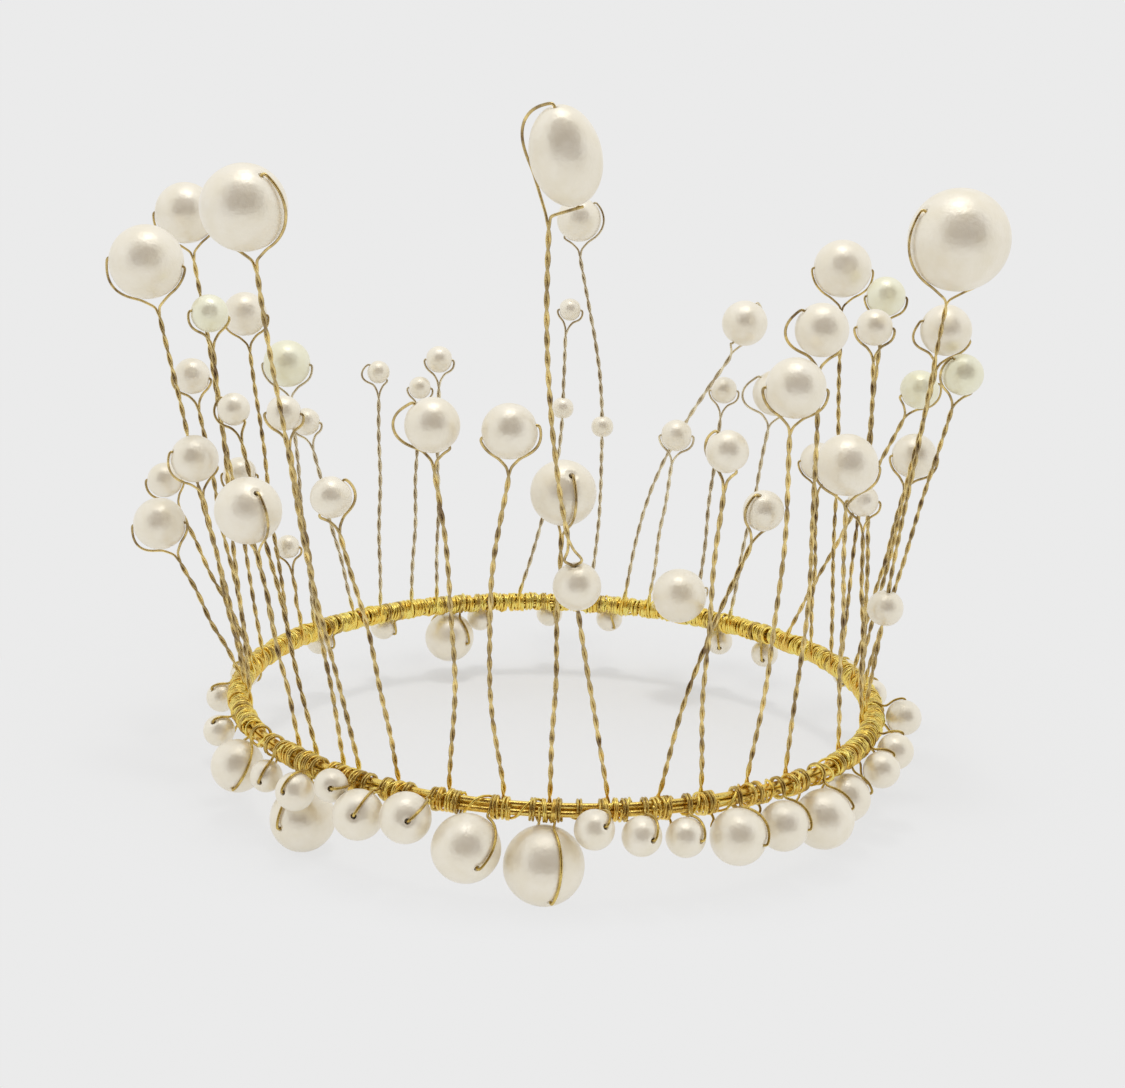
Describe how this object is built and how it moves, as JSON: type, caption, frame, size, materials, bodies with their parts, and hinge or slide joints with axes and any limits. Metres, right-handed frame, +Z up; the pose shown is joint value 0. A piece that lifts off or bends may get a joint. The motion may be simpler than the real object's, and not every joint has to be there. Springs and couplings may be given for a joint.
{
  "type": "pearl wire crown",
  "caption": "Round crown of gold wire: pearls on twisted wire stems rise from a wound hoop, and more pearls are tied along its rim.",
  "frame": {"origin": "centre of the hoop, in the plane of its wires", "axes": "+Z up along the hoop's axis, -Y towards the front where the tallest stem stands, +X to the right of it"},
  "size_m": [0.1683, 0.1665, 0.1379],
  "materials": {
    "gold_wire": "bright gold wire",
    "pearl": "satin pearl coat"
  },
  "bodies": {
    "crown_wire": {"hoop_wires": "gold_wire", "front_stems": "gold_wire", "right_stems": "gold_wire", "back_stems": "gold_wire", "left_stems": "gold_wire", "rim_ties": "gold_wire", "rim_pearls_small": "pearl", "rim_pearls_medium": "pearl", "rim_pearls_large": "pearl"},
    "front_pearl_1": {"front_pearl_1": "pearl"},
    "front_pearl_2": {"front_pearl_2": "pearl"},
    "front_pearl_3": {"front_pearl_3": "pearl"},
    "front_pearl_4": {"front_pearl_4": "pearl"},
    "front_pearl_5": {"front_pearl_5": "pearl"},
    "front_pearl_6": {"front_pearl_6": "pearl"},
    "tip_pearl": {"tip_pearl": "pearl"},
    "front_pearl_7": {"front_pearl_7": "pearl"},
    "front_pearl_8": {"front_pearl_8": "pearl"},
    "front_pearl_9": {"front_pearl_9": "pearl"},
    "front_pearl_10": {"front_pearl_10": "pearl"},
    "right_pearl_1": {"right_pearl_1": "pearl"},
    "right_pearl_2": {"right_pearl_2": "pearl"},
    "right_pearl_3": {"right_pearl_3": "pearl"},
    "right_pearl_4": {"right_pearl_4": "pearl"},
    "great_pearl": {"great_pearl": "pearl"},
    "right_pearl_5": {"right_pearl_5": "pearl"},
    "right_pearl_6": {"right_pearl_6": "pearl"},
    "right_pearl_7": {"right_pearl_7": "pearl"},
    "right_pearl_8": {"right_pearl_8": "pearl"},
    "right_pearl_9": {"right_pearl_9": "pearl"},
    "right_pearl_10": {"right_pearl_10": "pearl"},
    "back_pearl_1": {"back_pearl_1": "pearl"},
    "back_pearl_2": {"back_pearl_2": "pearl"},
    "back_pearl_3": {"back_pearl_3": "pearl"},
    "back_pearl_4": {"back_pearl_4": "pearl"},
    "back_pearl_5": {"back_pearl_5": "pearl"},
    "back_pearl_6": {"back_pearl_6": "pearl"},
    "back_pearl_7": {"back_pearl_7": "pearl"},
    "back_pearl_8": {"back_pearl_8": "pearl"},
    "back_pearl_9": {"back_pearl_9": "pearl"},
    "back_pearl_10": {"back_pearl_10": "pearl"},
    "back_pearl_11": {"back_pearl_11": "pearl"},
    "back_pearl_12": {"back_pearl_12": "pearl"},
    "left_pearl_1": {"left_pearl_1": "pearl"},
    "left_pearl_2": {"left_pearl_2": "pearl"},
    "left_pearl_3": {"left_pearl_3": "pearl"},
    "left_pearl_4": {"left_pearl_4": "pearl"},
    "left_pearl_5": {"left_pearl_5": "pearl"},
    "left_pearl_6": {"left_pearl_6": "pearl"},
    "left_pearl_7": {"left_pearl_7": "pearl"},
    "left_pearl_8": {"left_pearl_8": "pearl"},
    "left_pearl_9": {"left_pearl_9": "pearl"},
    "left_pearl_10": {"left_pearl_10": "pearl"},
    "left_pearl_11": {"left_pearl_11": "pearl"},
    "left_pearl_12": {"left_pearl_12": "pearl"},
    "tip_stem_pearl": {"tip_stem_pearl": "pearl"},
    "great_stem_pearl": {"great_stem_pearl": "pearl"},
    "back_stem_pearl_1": {"back_stem_pearl_1": "pearl"},
    "back_stem_pearl_2": {"back_stem_pearl_2": "pearl"}
  },
  "joints": [
    {"name": "front_pearl_1_spin", "type": "hinge", "parent": "crown_wire", "child": "front_pearl_1", "pos_m": [-0.04793, -0.04963, 0.065], "axis": [1, 0, 0], "continuous": true},
    {"name": "front_pearl_2_spin", "type": "hinge", "parent": "crown_wire", "child": "front_pearl_2", "pos_m": [-0.05223, -0.0645, 0.101], "axis": [0.4742, -0.3705, 0.7986], "continuous": true},
    {"name": "front_pearl_3_spin", "type": "hinge", "parent": "crown_wire", "child": "front_pearl_3", "pos_m": [-0.03867, -0.05955, 0.053], "axis": [0.539, 0.1962, 0.8192], "continuous": true},
    {"name": "front_pearl_4_spin", "type": "hinge", "parent": "crown_wire", "child": "front_pearl_4", "pos_m": [-0.02134, -0.06981, 0.068], "axis": [-0.6428, 0, 0.766], "continuous": true},
    {"name": "front_pearl_5_spin", "type": "hinge", "parent": "crown_wire", "child": "front_pearl_5", "pos_m": [-0.0089, -0.07246, 0.068], "axis": [0.9659, 0, 0.2588], "continuous": true},
    {"name": "front_pearl_6_spin", "type": "hinge", "parent": "crown_wire", "child": "front_pearl_6", "pos_m": [0, -0.063, 0.056], "axis": [0.2418, -0.6645, 0.7071], "continuous": true},
    {"name": "tip_pearl_spin", "type": "hinge", "parent": "crown_wire", "child": "tip_pearl", "pos_m": [-0.0014, -0.07999, 0.112], "axis": [-0.2498, -0.1165, 0.9613], "continuous": true},
    {"name": "front_pearl_7_spin", "type": "hinge", "parent": "crown_wire", "child": "front_pearl_7", "pos_m": [0.03391, -0.05428, 0.052], "axis": [-0.3214, -0.383, 0.866], "continuous": true},
    {"name": "front_pearl_8_spin", "type": "hinge", "parent": "crown_wire", "child": "front_pearl_8", "pos_m": [0.02616, -0.06815, 0.065], "axis": [-0.4698, 0.171, 0.866], "continuous": true},
    {"name": "front_pearl_9_spin", "type": "hinge", "parent": "crown_wire", "child": "front_pearl_9", "pos_m": [0.037, -0.06409, 0.075], "axis": [1, 0, 0], "continuous": true},
    {"name": "front_pearl_10_spin", "type": "hinge", "parent": "crown_wire", "child": "front_pearl_10", "pos_m": [0.04186, -0.05358, 0.083], "axis": [-0.7071, 0, 0.7071], "continuous": true},
    {"name": "right_pearl_1_spin", "type": "hinge", "parent": "crown_wire", "child": "right_pearl_1", "pos_m": [0.04964, -0.03879, 0.057], "axis": [1, 0, 0], "continuous": true},
    {"name": "right_pearl_2_spin", "type": "hinge", "parent": "crown_wire", "child": "right_pearl_2", "pos_m": [0.06992, 0.01233, 0.048], "axis": [1, 0, 0], "continuous": true},
    {"name": "right_pearl_3_spin", "type": "hinge", "parent": "crown_wire", "child": "right_pearl_3", "pos_m": [0.076, 0, 0.067], "axis": [-0.539, -0.1962, 0.8192], "continuous": true},
    {"name": "right_pearl_4_spin", "type": "hinge", "parent": "crown_wire", "child": "right_pearl_4", "pos_m": [0.07322, 0.00641, 0.0745], "axis": [-0.9397, 0, 0.342], "continuous": true},
    {"name": "great_pearl_spin", "type": "hinge", "parent": "crown_wire", "child": "great_pearl", "pos_m": [0.07111, -0.01126, 0.094], "axis": [-0.7698, -0.2802, 0.5736], "continuous": true},
    {"name": "right_pearl_5_spin", "type": "hinge", "parent": "crown_wire", "child": "right_pearl_5", "pos_m": [0.06398, 0.02585, 0.078], "axis": [1, 0, 0], "continuous": true},
    {"name": "right_pearl_6_spin", "type": "hinge", "parent": "crown_wire", "child": "right_pearl_6", "pos_m": [0.05792, -0.00304, 0.076], "axis": [1, 0, 0], "continuous": true},
    {"name": "right_pearl_7_spin", "type": "hinge", "parent": "crown_wire", "child": "right_pearl_7", "pos_m": [0.05693, -0.01107, 0.044], "axis": [1, 0, 0], "continuous": true},
    {"name": "right_pearl_8_spin", "type": "hinge", "parent": "crown_wire", "child": "right_pearl_8", "pos_m": [0.05619, 0.03649, 0.082], "axis": [1, 0, 0], "continuous": true},
    {"name": "right_pearl_9_spin", "type": "hinge", "parent": "crown_wire", "child": "right_pearl_9", "pos_m": [0.05389, 0.03635, 0.041], "axis": [1, 0, 0], "continuous": true},
    {"name": "right_pearl_10_spin", "type": "hinge", "parent": "crown_wire", "child": "right_pearl_10", "pos_m": [0.07236, 0.02634, 0.059], "axis": [0.9397, 0, 0.342], "continuous": true},
    {"name": "back_pearl_1_spin", "type": "hinge", "parent": "crown_wire", "child": "back_pearl_1", "pos_m": [0.04564, 0.05439, 0.052], "axis": [-0.7071, 0, 0.7071], "continuous": true},
    {"name": "back_pearl_2_spin", "type": "hinge", "parent": "crown_wire", "child": "back_pearl_2", "pos_m": [0.03521, 0.06622, 0.05], "axis": [1, 0, 0], "continuous": true},
    {"name": "back_pearl_3_spin", "type": "hinge", "parent": "crown_wire", "child": "back_pearl_3", "pos_m": [0.02642, 0.04767, 0.007], "axis": [0.9397, 0, 0.342], "continuous": true},
    {"name": "back_pearl_4_spin", "type": "hinge", "parent": "crown_wire", "child": "back_pearl_4", "pos_m": [0.02462, 0.05799, 0.041], "axis": [1, 0, 0], "continuous": true},
    {"name": "back_pearl_5_spin", "type": "hinge", "parent": "crown_wire", "child": "back_pearl_5", "pos_m": [0.03868, 0.06191, 0.066], "axis": [0.4698, 0.171, 0.866], "continuous": true},
    {"name": "back_pearl_6_spin", "type": "hinge", "parent": "crown_wire", "child": "back_pearl_6", "pos_m": [0.00133, 0.07599, 0.086], "axis": [0.6428, 0, 0.766], "continuous": true},
    {"name": "back_pearl_7_spin", "type": "hinge", "parent": "crown_wire", "child": "back_pearl_7", "pos_m": [0, 0.073, 0.066], "axis": [1, 0, 0], "continuous": true},
    {"name": "back_pearl_8_spin", "type": "hinge", "parent": "crown_wire", "child": "back_pearl_8", "pos_m": [-0.02888, 0.06486, 0.055], "axis": [1, 0, 0], "continuous": true},
    {"name": "back_pearl_9_spin", "type": "hinge", "parent": "crown_wire", "child": "back_pearl_9", "pos_m": [-0.03286, 0.06181, 0.049], "axis": [1, 0, 0], "continuous": true},
    {"name": "back_pearl_10_spin", "type": "hinge", "parent": "crown_wire", "child": "back_pearl_10", "pos_m": [-0.04173, 0.05744, 0.053], "axis": [-0.766, 0, 0.6428], "continuous": true},
    {"name": "back_pearl_11_spin", "type": "hinge", "parent": "crown_wire", "child": "back_pearl_11", "pos_m": [-0.0566, 0.0492, 0.043], "axis": [1, 0, 0], "continuous": true},
    {"name": "back_pearl_12_spin", "type": "hinge", "parent": "crown_wire", "child": "back_pearl_12", "pos_m": [-0.0598, 0.04187, 0.057], "axis": [1, 0, 0], "continuous": true},
    {"name": "left_pearl_1_spin", "type": "hinge", "parent": "crown_wire", "child": "left_pearl_1", "pos_m": [-0.05792, 0.02951, 0.02], "axis": [1, 0, 0], "continuous": true},
    {"name": "left_pearl_2_spin", "type": "hinge", "parent": "crown_wire", "child": "left_pearl_2", "pos_m": [-0.06707, 0.03127, 0.069], "axis": [1, 0, 0], "continuous": true},
    {"name": "left_pearl_3_spin", "type": "hinge", "parent": "crown_wire", "child": "left_pearl_3", "pos_m": [-0.06768, 0.02735, 0.036], "axis": [-1, 0, 0], "continuous": true},
    {"name": "left_pearl_4_spin", "type": "hinge", "parent": "crown_wire", "child": "left_pearl_4", "pos_m": [-0.0763, 0.01622, 0.091], "axis": [-1, 0, 0], "continuous": true},
    {"name": "left_pearl_5_spin", "type": "hinge", "parent": "crown_wire", "child": "left_pearl_5", "pos_m": [-0.08021, 0.01127, 0.038], "axis": [-1, 0, 0], "continuous": true},
    {"name": "left_pearl_6_spin", "type": "hinge", "parent": "crown_wire", "child": "left_pearl_6", "pos_m": [-0.07296, 0.00255, 0.061], "axis": [-0.9962, 0, 0.0872], "continuous": true},
    {"name": "left_pearl_7_spin", "type": "hinge", "parent": "crown_wire", "child": "left_pearl_7", "pos_m": [-0.07981, -0.00558, 0.084], "axis": [-0.9962, 0, 0.0872], "continuous": true},
    {"name": "left_pearl_8_spin", "type": "hinge", "parent": "crown_wire", "child": "left_pearl_8", "pos_m": [-0.07757, -0.00815, 0.034], "axis": [-0.9962, 0, -0.0872], "continuous": true},
    {"name": "left_pearl_9_spin", "type": "hinge", "parent": "crown_wire", "child": "left_pearl_9", "pos_m": [-0.06992, -0.01233, 0.048], "axis": [-0.883, -0.3214, 0.342], "continuous": true},
    {"name": "left_pearl_10_spin", "type": "hinge", "parent": "crown_wire", "child": "left_pearl_10", "pos_m": [-0.06651, -0.01414, 0.076], "axis": [-0.9254, -0.3368, 0.1736], "continuous": true},
    {"name": "left_pearl_11_spin", "type": "hinge", "parent": "crown_wire", "child": "left_pearl_11", "pos_m": [-0.0557, -0.039, 0.045], "axis": [0.3536, -0.6124, 0.7071], "continuous": true},
    {"name": "left_pearl_12_spin", "type": "hinge", "parent": "crown_wire", "child": "left_pearl_12", "pos_m": [-0.06068, -0.02329, 0.06], "axis": [-0.7198, 0.262, 0.6428], "continuous": true},
    {"name": "tip_stem_pearl_spin", "type": "hinge", "parent": "crown_wire", "child": "tip_stem_pearl", "pos_m": [0.00275, -0.0675, 0.04135], "axis": [-0.1278, -0.1714, 0.9769], "continuous": true},
    {"name": "great_stem_pearl_spin", "type": "hinge", "parent": "crown_wire", "child": "great_stem_pearl", "pos_m": [0.06289, -0.00996, 0.02262], "axis": [0.1144, -0.0181, 0.9933], "continuous": true},
    {"name": "back_stem_pearl_1_spin", "type": "hinge", "parent": "crown_wire", "child": "back_stem_pearl_1", "pos_m": [0.00824, 0.06777, 0.04039], "axis": [-0.064, 0.1755, 0.9824], "continuous": true},
    {"name": "back_stem_pearl_2_spin", "type": "hinge", "parent": "crown_wire", "child": "back_stem_pearl_2", "pos_m": [-0.0009, 0.06878, 0.04415], "axis": [0.0387, 0.1893, 0.9812], "continuous": true}
  ]
}
